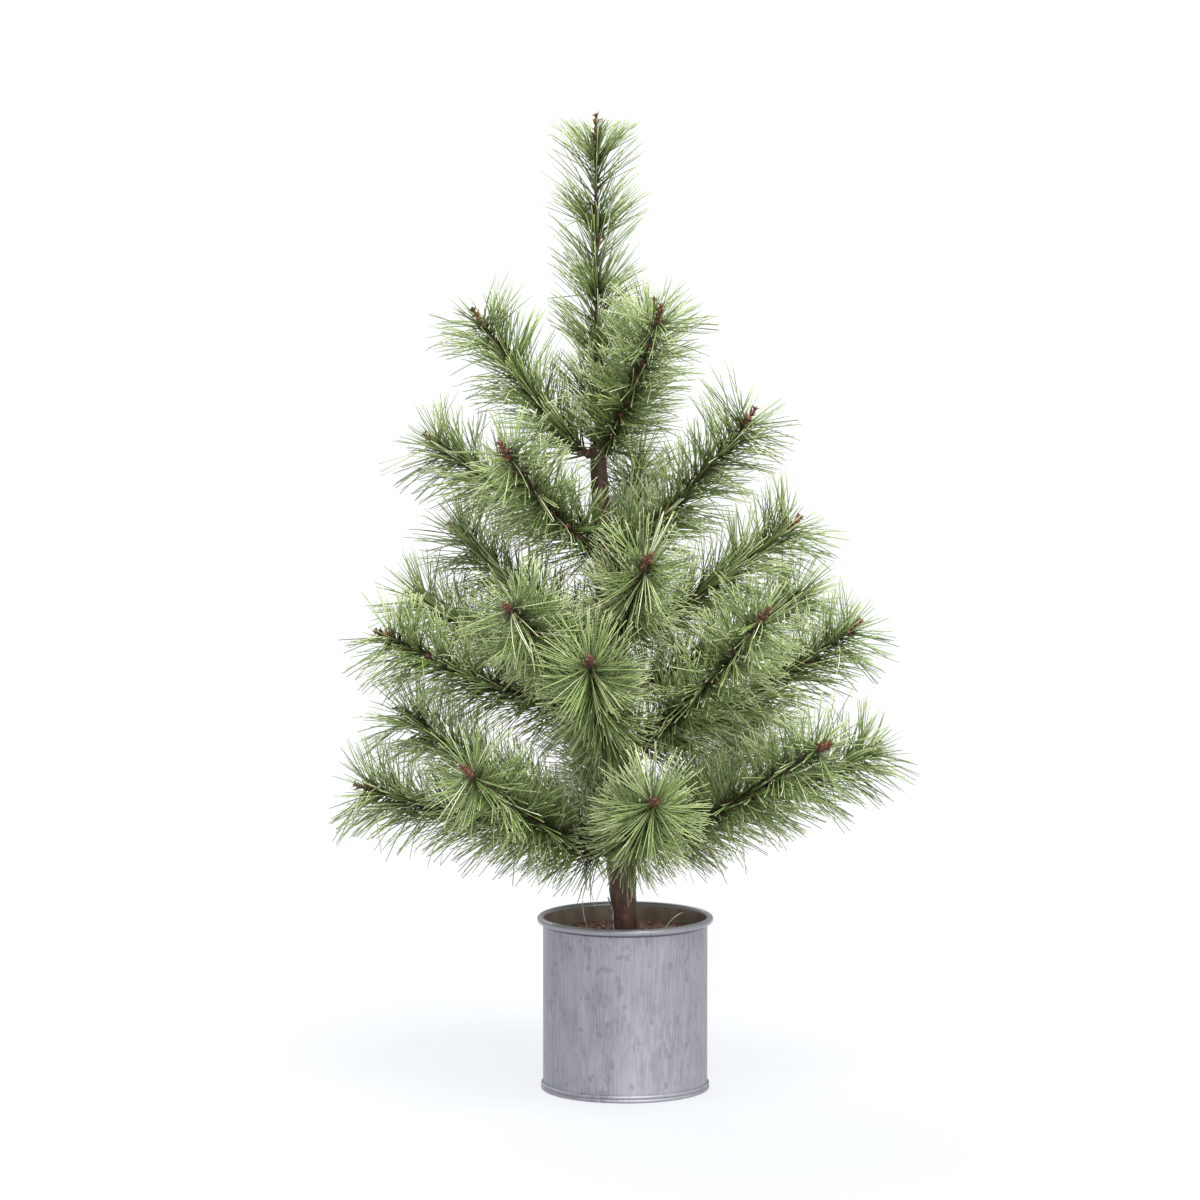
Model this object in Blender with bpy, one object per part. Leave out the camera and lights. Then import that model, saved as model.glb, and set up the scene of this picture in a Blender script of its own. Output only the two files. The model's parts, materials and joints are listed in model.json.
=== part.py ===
"""An artificial tabletop tree in a zinc pot: weighted pot, taped trunk, bendable needled branches.

Metres, +Z up. The origin is on the pot's axis, in the plane that the pot stands on.
Every branch is a wire stem with its needles round it, and bends up or down at its root on the trunk.
"""

import math

import bmesh
import bpy
import numpy as np
from mathutils import Matrix, Vector

MM = 0.001
GAP = 0.3 * MM

# Zinc pot: rolled sheet wall with a curled rim, and a base folded over its lower edge.
POT_HEIGHT = 107 * MM
POT_RADIUS = 50.3 * MM
SHEET = 0.6 * MM
RIM_CURL_RADIUS = 2.1 * MM
RIM_CURL_TURN = math.radians(300)
RIM_CURL_STEPS = 9
SEAM_HEIGHT = 4.6 * MM
SEAM_LEG = 0.9 * MM
SEAM_RIDGE = 0.4 * MM
SEAM_INNER_LEG_HEIGHT = 3.0 * MM
POT_STEPS = 36

# Filling: a cast block that holds the trunk, under a layer of brown litter.
FILL_BELOW_RIM = 10.5 * MM
LITTER_DEPTH = 4.0 * MM
LITTER_CROWN = 0.8 * MM
ROD_FOOT_ABOVE_BASE = 14.0 * MM
WRAP_FOOT_IN_BLOCK = 32.0 * MM

# Trunk: a steel rod inside a tape wrap that swells where the lowest branches leave it.
TRUNK_HEIGHT = 300 * MM
TRUNK_LEAN = 17 * MM
ROD_RADIUS = 2.5 * MM
ROD_BELOW_TOP = 3.0 * MM
WRAP_FOOT_RADIUS = 6.8 * MM
WRAP_SWELL_RADIUS = 9.0 * MM
WRAP_MIDDLE_RADIUS = 7.0 * MM
WRAP_TOP_RADIUS = 4.8 * MM
WRAP_SWELL_AT = 0.14
WRAP_MIDDLE_AT = 0.52
WRAP_SIDES = 12
WRAP_RINGS = 8

# Branch stems and the needles round them.
STEM_RADIUS = 1.5 * MM
STEM_TIP_SHARE = 0.65
STEM_POINTS = 6
STEM_UPTURN = 0.3
NEEDLE_LENGTH = 35 * MM
NEEDLE_ANGLE = math.radians(44)
SLEEVE_RADIUS = 3.2 * MM
SLEEVE_SIDES = 6
WHORL_SPACING = 20 * MM
WHORL_WIDTH = 3.5 * MM
BARE_ROOT = 15 * MM
BARE_TIP = 15 * MM
NEEDLE_CLEARANCE = 1.5 * MM
NEEDLE_SHORTEST = 4 * MM
NEEDLE_PROBES = 24

LEADER_LENGTH = 196 * MM
LEADER_STEM_RADIUS = 1.7 * MM

# Each branch: share of the trunk's height at its root, azimuth (degrees), reach and rise (mm).
BRANCHES = (
    (0.18, 8, 161, 58),
    (0.18, -38, 157, 78),
    (0.18, -82, 151, 51),
    (0.16, -128, 154, 71),
    (0.18, -175, 161, 39),
    (0.19, 148, 162, 69),
    (0.17, 100, 155, 60),
    (0.18, 53, 156, 66),
    (0.37, -8, 150, 82),
    (0.37, -50, 141, 101),
    (0.38, -96, 145, 74),
    (0.50, -118, 136, 69),
    (0.44, -163, 149, 59),
    (0.50, 158, 135, 53),
    (0.44, 92, 140, 64),
    (0.48, 31, 144, 60),
    (0.60, 14, 120, 72),
    (0.60, -78, 116, 65),
    (0.58, 142, 123, 68),
    (0.77, -22, 98, 93),
    (0.78, -128, 99, 74),
    (0.82, 166, 111, 56),
    (0.71, 78, 112, 68),
    (0.98, -58, 71, 95),
    (0.98, -176, 74, 88),
    (0.97, 62, 72, 90),
)

FILL_TOP = POT_HEIGHT - FILL_BELOW_RIM
BLOCK_TOP = FILL_TOP - LITTER_DEPTH - GAP
TRUNK_TOP = FILL_TOP + TRUNK_HEIGHT
WALL_INSIDE = POT_RADIUS - SHEET


def clear_scene():
    for obj in list(bpy.data.objects):
        bpy.data.objects.remove(obj, do_unlink=True)


def finish(name, colour, roughness, metallic):
    material = bpy.data.materials.new(name)
    material.use_nodes = True
    shader = material.node_tree.nodes["Principled BSDF"]
    shader.inputs["Base Color"].default_value = (*colour, 1.0)
    shader.inputs["Roughness"].default_value = roughness
    shader.inputs["Metallic"].default_value = metallic
    return material


def place(name, data, material, origin=(0, 0, 0), parent=None):
    obj = bpy.data.objects.new(name, data)
    bpy.context.scene.collection.objects.link(obj)
    data.materials.append(material)
    obj.parent = parent
    obj.location = origin
    return obj


def mesh_of(bm, name, smooth_degrees):
    bmesh.ops.recalc_face_normals(bm, faces=bm.faces)
    if bm.calc_volume(signed=True) < 0:
        bmesh.ops.reverse_faces(bm, faces=bm.faces)
    mesh = bpy.data.meshes.new(name)
    bm.to_mesh(mesh)
    bm.free()
    mesh.shade_smooth()
    mesh.set_sharp_from_angle(angle=math.radians(smooth_degrees))
    return mesh


def turned(name, profile):
    """A closed solid turned round the pot's axis from (radius, height) points."""
    bm = bmesh.new()
    ring = [bm.verts.new((radius, 0, height)) for radius, height in profile]
    sides = list(zip(ring, ring[1:]))
    if profile[0][0] > 0:
        sides.append((ring[-1], ring[0]))
    edges = [bm.edges.new(pair) for pair in sides]
    bmesh.ops.spin(
        bm,
        geom=ring + edges,
        cent=(0, 0, 0),
        axis=(0, 0, 1),
        angle=math.tau,
        steps=POT_STEPS,
        use_merge=True,
    )
    bmesh.ops.remove_doubles(bm, verts=bm.verts, dist=0.01 * MM)
    return mesh_of(bm, name, 40)


def curl(radius, start, turn):
    """Points round the rim's curl, clockwise from `start`, seen as (radius, height)."""
    centre = (POT_RADIUS - SHEET / 2 + RIM_CURL_RADIUS - SHEET / 2, POT_HEIGHT - RIM_CURL_RADIUS)
    angles = [start - turn * step / RIM_CURL_STEPS for step in range(RIM_CURL_STEPS + 1)]
    return [(centre[0] + radius * math.cos(a), centre[1] + radius * math.sin(a)) for a in angles]


def pot_wall():
    foot = SHEET + GAP
    outside = curl(RIM_CURL_RADIUS, math.pi, RIM_CURL_TURN)
    inside = curl(RIM_CURL_RADIUS - SHEET, math.pi, RIM_CURL_TURN)
    profile = [(POT_RADIUS, foot), (WALL_INSIDE, foot), *outside, *reversed(inside)]
    return turned("pot_wall", profile)


def pot_base():
    outer = POT_RADIUS + GAP + SEAM_LEG
    waist = outer - SEAM_RIDGE
    groove_out = POT_RADIUS + GAP
    groove_in = WALL_INSIDE - GAP
    leg_in = groove_in - SHEET
    profile = [
        (0, 0),
        (waist, 0),
        (outer, 0.15 * SEAM_HEIGHT),
        (outer, 0.35 * SEAM_HEIGHT),
        (waist, 0.5 * SEAM_HEIGHT),
        (outer, 0.65 * SEAM_HEIGHT),
        (outer, 0.85 * SEAM_HEIGHT),
        (waist, SEAM_HEIGHT),
        (groove_out, SEAM_HEIGHT),
        (groove_out, SHEET),
        (groove_in, SHEET),
        (groove_in, SEAM_INNER_LEG_HEIGHT),
        (leg_in, SEAM_INNER_LEG_HEIGHT),
        (leg_in, SHEET),
        (0, SHEET),
    ]
    return turned("pot_base", profile)


def ballast_block():
    outer = WALL_INSIDE - GAP - SHEET - GAP
    wrap_hole = WRAP_FOOT_RADIUS + GAP
    rod_hole = ROD_RADIUS + GAP
    step = BLOCK_TOP - WRAP_FOOT_IN_BLOCK - GAP
    well = SHEET + ROD_FOOT_ABOVE_BASE - GAP
    profile = [
        (0, SHEET + GAP),
        (outer, SHEET + GAP),
        (outer, BLOCK_TOP),
        (wrap_hole, BLOCK_TOP),
        (wrap_hole, step),
        (rod_hole, step),
        (rod_hole, well),
        (0, well),
    ]
    return turned("ballast_block", profile)


def litter_layer():
    outer = WALL_INSIDE - GAP
    hole = WRAP_FOOT_RADIUS + 2 * GAP
    low = FILL_TOP - LITTER_DEPTH
    profile = [
        (hole, low),
        (outer, low),
        (outer, FILL_TOP - LITTER_CROWN),
        ((outer + hole) / 2, FILL_TOP),
        (hole, FILL_TOP - LITTER_CROWN / 2),
    ]
    return turned("litter_layer", profile)


def trunk_axis(share):
    """The trunk's centre at a share of its height above the filling; it stands upright below that."""
    return Vector((-TRUNK_LEAN * max(share, 0.0), 0, FILL_TOP + TRUNK_HEIGHT * share))


def wrap_radius(share):
    stations = (0.0, WRAP_SWELL_AT, WRAP_MIDDLE_AT, 1.0)
    radii = (WRAP_FOOT_RADIUS, WRAP_SWELL_RADIUS, WRAP_MIDDLE_RADIUS, WRAP_TOP_RADIUS)
    return float(np.interp(share, stations, radii))


def ring(bm, centre, along, radius, sides):
    """One open circle of edges square to `along`."""
    turn = along.to_track_quat("Z", "Y").to_matrix().to_4x4()
    matrix = Matrix.Translation(centre) @ turn
    made = bmesh.ops.create_circle(bm, segments=sides, radius=radius, matrix=matrix)
    return list({edge for vert in made["verts"] for edge in vert.link_edges})


def step_in(bm, edges, centre, radius):
    """Turns an end ring inwards to a smaller radius, which makes the end of a wall."""
    made = bmesh.ops.extrude_edge_only(bm, edges=edges)["geom"]
    for vert in made:
        if isinstance(vert, bmesh.types.BMVert):
            vert.co = centre + radius * (vert.co - centre).normalized()
    return [edge for edge in made if isinstance(edge, bmesh.types.BMEdge)]


def skin(bm, rings):
    """Bridges each ring to the next and returns the bands of faces."""
    pairs = zip(rings, rings[1:])
    return [bmesh.ops.bridge_loops(bm, edges=low + high)["faces"] for low, high in pairs]


def trunk_wrap():
    foot = trunk_axis(0) - Vector((0, 0, LITTER_DEPTH + GAP + WRAP_FOOT_IN_BLOCK))
    shares = sorted({0.0, WRAP_SWELL_AT, WRAP_MIDDLE_AT, *np.linspace(0.0, 1.0, WRAP_RINGS)})
    centres = [foot] + [trunk_axis(share) for share in shares]
    outer_radii = [WRAP_FOOT_RADIUS] + [wrap_radius(share) for share in shares]
    up = Vector((0, 0, 1))
    bm = bmesh.new()
    outer = [ring(bm, c, up, r, WRAP_SIDES) for c, r in zip(centres, outer_radii)]
    bore_radius = (ROD_RADIUS + GAP) / math.cos(math.pi / WRAP_SIDES)
    skin(bm, outer)
    bore_foot = step_in(bm, outer[0], centres[0], bore_radius)
    bore_bend = ring(bm, centres[1], up, bore_radius, WRAP_SIDES)
    bore_top = step_in(bm, outer[-1], centres[-1], bore_radius)
    skin(bm, [bore_foot, bore_bend, bore_top])
    return mesh_of(bm, "trunk_wrap", 50)


def rod(name, points, radii, resolution):
    """A round bar along straight runs between points, with closed ends."""
    curve = bpy.data.curves.new(name, "CURVE")
    curve.dimensions = "3D"
    curve.bevel_depth = 1.0
    curve.bevel_resolution = resolution
    curve.use_fill_caps = True
    spline = curve.splines.new("POLY")
    spline.points.add(len(points) - 1)
    for spot, point, radius in zip(spline.points, points, radii):
        spot.co = (*point, 1)
        spot.radius = radius
    return curve


def trunk_rod():
    foot = Vector((0, 0, SHEET + ROD_FOOT_ABOVE_BASE))
    top = trunk_axis(1.0 - ROD_BELOW_TOP / TRUNK_HEIGHT)
    return rod("trunk_rod", [foot, trunk_axis(0), top], [ROD_RADIUS] * 3, 2)


class Branch:
    """One branch's centre line: it starts on the trunk, reaches out and turns up towards its tip."""

    def __init__(self, name, root, outward, reach, rise, radius):
        self.name = name
        self.root = root
        self.radius = radius
        steps = np.linspace(0.0, 1.0, STEM_POINTS)
        lift = (1 - STEM_UPTURN) * steps + STEM_UPTURN * steps**2
        flat = np.outer(steps * reach, np.array(outward))
        self.points = flat + np.outer(lift * rise, (0, 0, 1))
        runs = np.linalg.norm(np.diff(self.points, axis=0), axis=1)
        self.distances = np.concatenate([[0.0], np.cumsum(runs)])
        self.length = float(self.distances[-1])

    def at(self, distance):
        return Vector([np.interp(distance, self.distances, self.points[:, axis]) for axis in range(3)])

    def along(self, distance):
        step = 0.5 * WHORL_WIDTH
        return (self.at(min(distance + step, self.length)) - self.at(max(distance - step, 0.0))).normalized()


def trunk_branch(number, share, azimuth, reach, rise):
    angle = math.radians(azimuth)
    outward = Vector((math.cos(angle), math.sin(angle), 0))
    off_axis = wrap_radius(share) + GAP + STEM_RADIUS
    root = trunk_axis(share) + off_axis * outward
    name = f"branch_{number:02d}"
    return Branch(name, root, outward, reach * MM - off_axis, rise * MM, STEM_RADIUS)


def leader_branch():
    root = trunk_axis(1.0) + Vector((0, 0, GAP + LEADER_STEM_RADIUS))
    return Branch("leader", root, Vector((0, 0, 0)), 0.0, LEADER_LENGTH, LEADER_STEM_RADIUS)


def stem(branch):
    """The branch's wire, domed at the root so that it turns there without touching the trunk."""
    dome = [math.radians(angle) for angle in (75, 40)]
    first = branch.along(0.0)
    points = [-branch.radius * math.sin(a) * first for a in dome]
    radii = [branch.radius * math.cos(a) for a in dome]
    for index, point in enumerate(branch.points):
        taper = index / (STEM_POINTS - 1)
        points.append(Vector(point))
        radii.append(branch.radius * (1 - (1 - STEM_TIP_SHARE) * taper))
    return rod(f"{branch.name}_stem", points, radii, 1)


def nearest(points, branch):
    """Distance from each point to the branch's centre line."""
    line = branch.points + np.array(branch.root)
    low, run = line[:-1], np.diff(line, axis=0)
    offset = points[:, None, :] - low
    share = np.clip((offset * run).sum(2) / (run * run).sum(1), 0.0, 1.0)
    return np.linalg.norm(offset - share[..., None] * run, axis=2).min(1)


def clear_length(start, direction, own, others):
    """How long a needle may be and still lie nearer its own stem than any other stem, and off the trunk."""
    lengths = np.linspace(0.0, NEEDLE_LENGTH, NEEDLE_PROBES)
    points = np.array(start + own.root) + np.outer(lengths, np.array(direction))
    spare = np.min([nearest(points, other) for other in others], axis=0) - nearest(points, own)
    shares = (points[:, 2] - FILL_TOP) / TRUNK_HEIGHT
    across = points[:, :2] - np.array([trunk_axis(share)[:2] for share in shares])
    off_trunk = np.linalg.norm(across, axis=1) - np.array([wrap_radius(share) for share in shares])
    off_trunk[shares > 1.0] = NEEDLE_LENGTH
    blocked = (spare < NEEDLE_CLEARANCE) | (off_trunk < NEEDLE_CLEARANCE)
    return float(lengths[max(int(np.argmax(blocked)) - 1, 0)]) if blocked.any() else NEEDLE_LENGTH


def needles(branch, others):
    """A hollow sleeve round the stem whose narrow bands are drawn out into slanting needles."""
    last = branch.length - BARE_TIP
    count = max(int((last - WHORL_WIDTH - BARE_ROOT) / WHORL_SPACING), 1) + 1
    whorls = np.linspace(BARE_ROOT, last - WHORL_WIDTH, count)
    stations = [distance for whorl in whorls for distance in (whorl, whorl + WHORL_WIDTH)]
    bends = [distance for distance in branch.distances if BARE_ROOT < distance < last]
    bore_radius = (branch.radius + GAP) / math.cos(math.pi / SLEEVE_SIDES)
    bm = bmesh.new()
    outer = [ring(bm, branch.at(d), branch.along(d), SLEEVE_RADIUS, SLEEVE_SIDES) for d in stations]
    bands = skin(bm, outer)[::2]
    bore = [ring(bm, branch.at(d), branch.along(d), bore_radius, SLEEVE_SIDES) for d in bends]
    bore_root = step_in(bm, outer[0], branch.at(stations[0]), bore_radius)
    bore_tip = step_in(bm, outer[-1], branch.at(stations[-1]), bore_radius)
    skin(bm, [bore_root, *bore, bore_tip])
    for whorl, band in zip(whorls, bands):
        middle = whorl + WHORL_WIDTH / 2
        centre, forward = branch.at(middle), branch.along(middle)
        for face in band:
            start = face.calc_center_median()
            sideways = (start - centre) - (start - centre).dot(forward) * forward
            lean = math.cos(NEEDLE_ANGLE) * forward + math.sin(NEEDLE_ANGLE) * sideways.normalized()
            length = clear_length(start, lean, branch, others)
            if length > NEEDLE_SHORTEST:
                point = bmesh.ops.poke(bm, faces=[face])["verts"][0]
                point.co = start + length * lean
    return mesh_of(bm, f"{branch.name}_needles", 30)


def main():
    clear_scene()
    zinc = finish("galvanised zinc", (0.36, 0.37, 0.40), 0.5, 0.8)
    cement = finish("cast cement", (0.45, 0.43, 0.40), 0.9, 0.0)
    litter = finish("brown litter", (0.085, 0.055, 0.045), 0.95, 0.0)
    steel = finish("drawn steel", (0.45, 0.45, 0.46), 0.4, 1.0)
    tape = finish("brown floral tape", (0.065, 0.042, 0.037), 0.75, 0.0)
    wire = finish("brown coated wire", (0.11, 0.07, 0.045), 0.6, 0.0)
    green = finish("green moulded needles", (0.16, 0.21, 0.08), 0.5, 0.0)

    place("pot_base", pot_base(), zinc)
    place("pot_wall", pot_wall(), zinc)
    place("ballast_block", ballast_block(), cement)
    place("litter_layer", litter_layer(), litter)
    place("trunk_rod", trunk_rod(), steel)
    place("trunk_wrap", trunk_wrap(), tape)

    branches = [trunk_branch(number, *row) for number, row in enumerate(BRANCHES, 1)]
    branches.append(leader_branch())
    for branch in branches:
        others = [other for other in branches if other is not branch]
        stem_object = place(f"{branch.name}_stem", stem(branch), wire, branch.root)
        place(f"{branch.name}_needles", needles(branch, others), green, parent=stem_object)


main()
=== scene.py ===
"""The looks of an artificial tabletop tree: zinc pot, bark litter, taped trunk, stems, husks and needles."""

import json
import math

import bmesh
import bpy
import numpy as np
from mathutils import Matrix, Vector, noise


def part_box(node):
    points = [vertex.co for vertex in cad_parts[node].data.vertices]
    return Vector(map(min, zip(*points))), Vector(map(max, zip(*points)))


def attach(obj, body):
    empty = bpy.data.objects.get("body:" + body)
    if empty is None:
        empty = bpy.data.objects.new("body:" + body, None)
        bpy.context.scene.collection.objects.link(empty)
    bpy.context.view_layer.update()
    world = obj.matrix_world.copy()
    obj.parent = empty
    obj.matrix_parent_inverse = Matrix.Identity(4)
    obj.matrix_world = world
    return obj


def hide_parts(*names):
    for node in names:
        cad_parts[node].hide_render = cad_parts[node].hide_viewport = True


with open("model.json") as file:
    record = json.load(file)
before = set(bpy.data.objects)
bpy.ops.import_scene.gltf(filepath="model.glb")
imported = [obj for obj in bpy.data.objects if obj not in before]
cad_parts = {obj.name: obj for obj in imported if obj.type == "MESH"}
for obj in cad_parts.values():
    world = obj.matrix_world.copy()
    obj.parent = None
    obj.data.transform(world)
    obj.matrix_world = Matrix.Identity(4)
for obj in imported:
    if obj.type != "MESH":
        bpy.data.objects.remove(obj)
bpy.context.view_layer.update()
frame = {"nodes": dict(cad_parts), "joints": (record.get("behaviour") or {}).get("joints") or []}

MM = 0.001

# The long lens stands a little above the tree and looks slightly down on it.
CAMERA_DISTANCE = 4.5
CAMERA_ELEVATION = math.radians(7.3)
CAMERA_TARGET = Vector((-15.4 * MM, 0, 300.9 * MM))
FRAME_WIDTH = 728.4 * MM
SENSOR_WIDTH = 36.0

# Pot. The curl and the seam have the sizes of their CAD solids.
POT_STEPS = 128
SHEET = 0.6 * MM
SEAM_LEG = 0.9 * MM
SEAM_INNER_HEIGHT = 3 * MM
RIM_CURL_RADIUS = 2.1 * MM
RIM_CURL_TURN = math.radians(300)
RIM_FOOT = 102.3 * MM

# Upright patterns in the zinc: size across, stretch (a share of 1 that pulls it upright), detail, roughness.
ZINC_WARP = 70 * MM
ZINC_PATTERNS = (
    (1.0 * MM, 0.03, 4, 0.5),
    (2.6 * MM, 0.07, 5, 0.5),
    (16 * MM, 0.7, 8, 0.62),
    (5 * MM, 0.7, 3, 0.4),
)

# Litter.
LITTER_HOLE = 7.4 * MM
LITTER_DIP = 1.0 * MM
LITTER_RINGS = 14
FLAKES = 520
FLAKE_SIZE = (2.6 * MM, 1.1 * MM, 0.5 * MM)

# Trunk tape.
TAPE_PITCH = 13 * MM
TAPE_EDGE = 0.45 * MM
TAPE_CREASE = 0.25 * MM
TRUNK_BORE = 2.8 * MM
TRUNK_SIDES = 40
TRUNK_TOP_ROUNDING = 5 * MM
TRUNK_TOP_HEIGHT = 380 * MM

# Loose strands in the pot's mouth.
STRAND_RADIUS = 0.3 * MM
TWIST_RADIUS = 0.34 * MM
TWIST_TURNS = 9

# Stems and husks.
STEM_RADIUS = 1.15 * MM
LEADER_STEM_RADIUS = 1.2 * MM
STEM_UPTURN = 0.3
STEM_TIP_SHARE = 0.65
STEM_STEP = 1.6 * MM
STEM_COLLAR = 7 * MM
KINK = 0.8 * MM
KINKS = 14
BRACT_SPACING = 14 * MM
BUD_FOOT = 9.5 * MM

# Needles.
NEEDLE_LENGTH = 36 * MM
NEEDLE_RADIUS = 0.39 * MM
NEEDLE_SHADES = 24
NEEDLE_SHAPES = ((0.0, 0), (0.05, 0), (0.09, 0), (0.14, 0), (-0.03, 0), (0.04, 0.5))
NEEDLES_IN_BUNDLE = 3
SHADE_WIDTH = 0.004
STRAY_SHARE = 0.035
GOLDEN_TURN = 2.39996
TIER_TOP = 21 * MM
TIER_SPACING = 36 * MM
LOW_BRANCHES = 300 * MM


# ---------------------------------------------------------------- materials


def colour(code):
    """An sRGB hex code as the linear colour that a shader takes."""
    parts = [int(code[i : i + 2], 16) / 255 for i in (1, 3, 5)]
    return (*[c / 12.92 if c <= 0.04045 else ((c + 0.055) / 1.055) ** 2.4 for c in parts], 1.0)


def node(tree, kind, inputs=None, **settings):
    """Adds a node with its settings, and its inputs as values or as links from other nodes' sockets."""
    made = tree.nodes.new(kind)
    for name, value in settings.items():
        setattr(made, name, value)
    for key, value in (inputs or {}).items():
        if isinstance(value, bpy.types.NodeSocket):
            tree.links.new(value, made.inputs[key])
        else:
            made.inputs[key].default_value = value
    return made


def surface(name, **values):
    """A new material, its node tree and its shader with the given constant values."""
    material = bpy.data.materials.new(name)
    material.use_nodes = True
    tree = material.node_tree
    shader = tree.nodes["Principled BSDF"]
    for key, value in values.items():
        shader.inputs[key.replace("_", " ").title().replace("Ior", "IOR")].default_value = value
    return material, tree, shader


def zinc_patterns(tree, place):
    """Fine roll lines, broader strands, clouds and spangles, all slanted a little by one broad warp."""
    warp = node(
        tree, "ShaderNodeTexNoise", {"Vector": place, "Scale": 1 / ZINC_WARP, "Detail": 1}
    ).outputs[1]
    slant = node(tree, "ShaderNodeMix", {0: 0.012, 4: place, 5: warp}, data_type="VECTOR").outputs[1]
    patterns = []
    for size, stretch, detail, roughness in ZINC_PATTERNS:
        at = node(tree, "ShaderNodeMapping", {"Vector": slant, "Scale": (1, 1, stretch)}).outputs[0]
        inputs = {"Vector": at, "Scale": 1 / size, "Detail": detail, "Roughness": roughness}
        patterns.append(node(tree, "ShaderNodeTexNoise", inputs).outputs[0])
    return patterns


def zinc_tone(tree, lines, strands, cloud, spangle):
    """Clouded blue-grey, with pale roll lines and bloom over it, and darker spangles last."""
    clouded = node(tree, "ShaderNodeMapRange", {0: cloud, 1: 0.36, 2: 0.64}).outputs[0]
    tone = node(
        tree, "ShaderNodeMix", {0: clouded, 6: colour("#8B8C94"), 7: colour("#A3A3AA")}, data_type="RGBA"
    ).outputs[2]
    marks = (
        (lines, 0.46, 0.68, 0.6, "#B4B4B9"),
        (strands, 0.54, 0.80, 0.45, "#BDBDC2"),
        (spangle, 0.61, 0.67, 0.45, "#767782"),
    )
    for pattern, start, full, most, code in marks:
        share = node(tree, "ShaderNodeMapRange", {0: pattern, 1: start, 2: full, 3: 0.0, 4: most}).outputs[0]
        tone = node(tree, "ShaderNodeMix", {0: share, 6: tone, 7: colour(code)}, data_type="RGBA").outputs[2]
    return tone


def rolled_zinc():
    """Galvanised sheet, rolled and weathered: a matt blue-grey metal with fine upright roll lines, pale
    bloom and a few darker spangles, so the eye reads thin old metal and not paint. The rim is rubbed smooth,
    and a line of painted shade lies in the fold under it. The roll lines are drawn coarse enough to show."""
    material, tree, shader = surface("galvanised zinc, rolled and weathered", metallic=0.55)
    place = node(tree, "ShaderNodeTexCoord").outputs["Object"]
    lines, strands, cloud, spangle = zinc_patterns(tree, place)
    marked = zinc_tone(tree, lines, strands, cloud, spangle)
    height = node(tree, "ShaderNodeSeparateXYZ", {0: place}).outputs[2]
    handled = node(
        tree, "ShaderNodeMapRange", {0: height, 1: RIM_FOOT, 2: RIM_FOOT + 0.8 * MM, 3: 0.0, 4: 0.75}
    ).outputs[0]
    rimmed = node(
        tree, "ShaderNodeMix", {0: handled, 6: marked, 7: colour("#9A9BA1")}, data_type="RGBA"
    ).outputs[2]
    # Painted shade: a dark grey band (#45444A) in the fold under the bead, strongest within 0.3 mm of
    # RIM_FOOT, stands for the shade that falls there.
    below = node(tree, "ShaderNodeMath", {0: height, 1: RIM_FOOT}, operation="SUBTRACT").outputs[0]
    apart = node(tree, "ShaderNodeMath", {0: below}, operation="ABSOLUTE").outputs[0]
    painted_rim_shade = node(
        tree, "ShaderNodeMapRange", {0: apart, 1: 0.3 * MM, 2: 1.0 * MM, 3: 0.85, 4: 0.0}
    ).outputs[0]
    final = node(
        tree, "ShaderNodeMix", {0: painted_rim_shade, 6: rimmed, 7: colour("#45444A")}, data_type="RGBA"
    ).outputs[2]
    tree.links.new(final, shader.inputs["Base Color"])
    rough = node(tree, "ShaderNodeMapRange", {0: cloud, 1: 0.3, 2: 0.7, 3: 0.38, 4: 0.56}).outputs[0]
    rubbed = node(
        tree, "ShaderNodeMath", {0: handled, 1: -0.2, 2: rough}, operation="MULTIPLY_ADD"
    ).outputs[0]
    tree.links.new(rubbed, shader.inputs["Roughness"])
    grooves = node(tree, "ShaderNodeMath", {0: lines, 1: strands}, operation="ADD").outputs[0]
    bump = node(tree, "ShaderNodeBump", {"Strength": 0.2, "Distance": 0.06 * MM, "Height": grooves})
    tree.links.new(bump.outputs[0], shader.inputs["Normal"])
    return material


def stained_zinc():
    """The same sheet inside the pot, dulled and stained brown by the litter, so the mouth reads deep."""
    material, tree, shader = surface("galvanised zinc, stained inside", metallic=0.15)
    place = node(tree, "ShaderNodeTexCoord").outputs["Object"]
    cloud = node(
        tree, "ShaderNodeTexNoise", {"Vector": place, "Scale": 1 / (14 * MM), "Detail": 6}
    ).outputs[0]
    stain = node(tree, "ShaderNodeMapRange", {0: cloud, 1: 0.35, 2: 0.65}).outputs[0]
    tone = node(
        tree, "ShaderNodeMix", {0: stain, 6: colour("#7C6C60"), 7: colour("#A0978A")}, data_type="RGBA"
    ).outputs[2]
    tree.links.new(tone, shader.inputs["Base Color"])
    rough = node(tree, "ShaderNodeMapRange", {0: cloud, 1: 0.3, 2: 0.7, 3: 0.6, 4: 0.85}).outputs[0]
    tree.links.new(rough, shader.inputs["Roughness"])
    bump = node(tree, "ShaderNodeBump", {"Strength": 0.3, "Distance": 0.1 * MM, "Height": cloud})
    tree.links.new(bump.outputs[0], shader.inputs["Normal"])
    return material


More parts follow.
